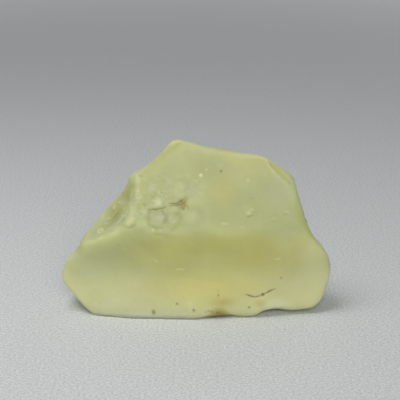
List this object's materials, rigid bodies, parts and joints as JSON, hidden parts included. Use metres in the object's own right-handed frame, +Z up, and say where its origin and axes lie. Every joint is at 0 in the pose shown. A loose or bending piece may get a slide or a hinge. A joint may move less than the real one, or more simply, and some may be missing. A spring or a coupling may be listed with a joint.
{
  "type": "raw desert glass stone",
  "caption": "Raw, wind-worn piece of translucent yellow-green natural glass with a ledge across its front, standing on a worn flat.",
  "frame": {"origin": "on the surface the piece stands on, under the middle of its bounding box", "axes": "+Z up, -Y towards the front with the ledge, +X to the right along the piece's longest side"},
  "size_m": [0.042, 0.0186, 0.026],
  "materials": {
    "desert_glass": "frosted, waxy and translucent: pale yellow-green, deeper olive-yellow where it is thick"
  },
  "bodies": {
    "root": {"desert_glass": "desert_glass"}
  },
  "joints": []
}
